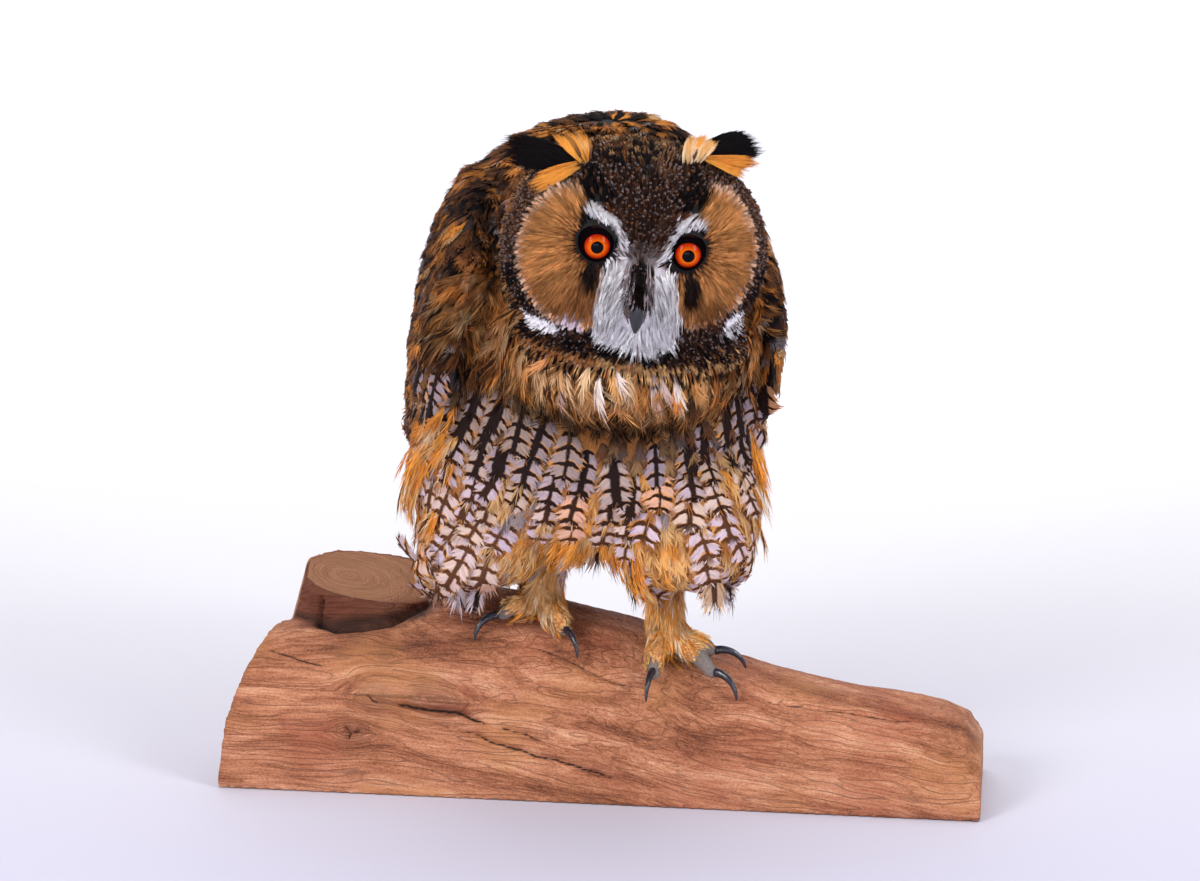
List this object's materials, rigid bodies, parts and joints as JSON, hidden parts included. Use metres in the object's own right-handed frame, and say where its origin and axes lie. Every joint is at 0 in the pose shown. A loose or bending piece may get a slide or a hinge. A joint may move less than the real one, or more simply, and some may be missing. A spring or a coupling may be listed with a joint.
{
  "type": "mounted long-eared owl",
  "caption": "Life-size taxidermy long-eared owl leaning forward on a flat-backed driftwood log, wings folded and ear tufts laid sideways.",
  "frame": {"origin": "a point on the log's flat underside, under the owl's feet", "axes": "-Z is the way the log's flat underside faces, +X is towards the owl's left, and the owl looks towards -Y"},
  "size_m": [0.3497, 0.34, 0.301],
  "materials": {
    "wood": "bare weathered driftwood with fine wavy grain, cracks and knots",
    "feathers_dark": "soft barred and mottled contour feathers",
    "feathers_light": "soft streaked contour feathers",
    "feathers_buff": "short hair-like feathering",
    "horn": "polished black horn",
    "glass_eye": "glossy orange glass eye with a dark pupil"
  },
  "bodies": {
    "root": {"log_base": "wood", "trunk": "feathers_dark", "neck": "feathers_light", "head": "feathers_light", "ear_tuft_left": "feathers_dark", "ear_tuft_right": "feathers_dark", "eye_left": "glass_eye", "eye_right": "glass_eye", "bill_upper": "horn", "bill_lower": "horn", "wing_left": "feathers_dark", "wing_right": "feathers_dark", "tail": "feathers_dark", "thigh_left": "feathers_light", "thigh_right": "feathers_light", "tarsus_left": "feathers_buff", "tarsus_right": "feathers_buff", "toe_left_hind": "feathers_buff", "toe_left_inner": "feathers_buff", "toe_left_middle": "feathers_buff", "toe_left_outer": "feathers_buff", "toe_right_hind": "feathers_buff", "toe_right_inner": "feathers_buff", "toe_right_middle": "feathers_buff", "toe_right_outer": "feathers_buff", "claw_left_hind": "horn", "claw_left_inner": "horn", "claw_left_middle": "horn", "claw_left_outer": "horn", "claw_right_hind": "horn", "claw_right_inner": "horn", "claw_right_middle": "horn", "claw_right_outer": "horn"}
  },
  "joints": []
}
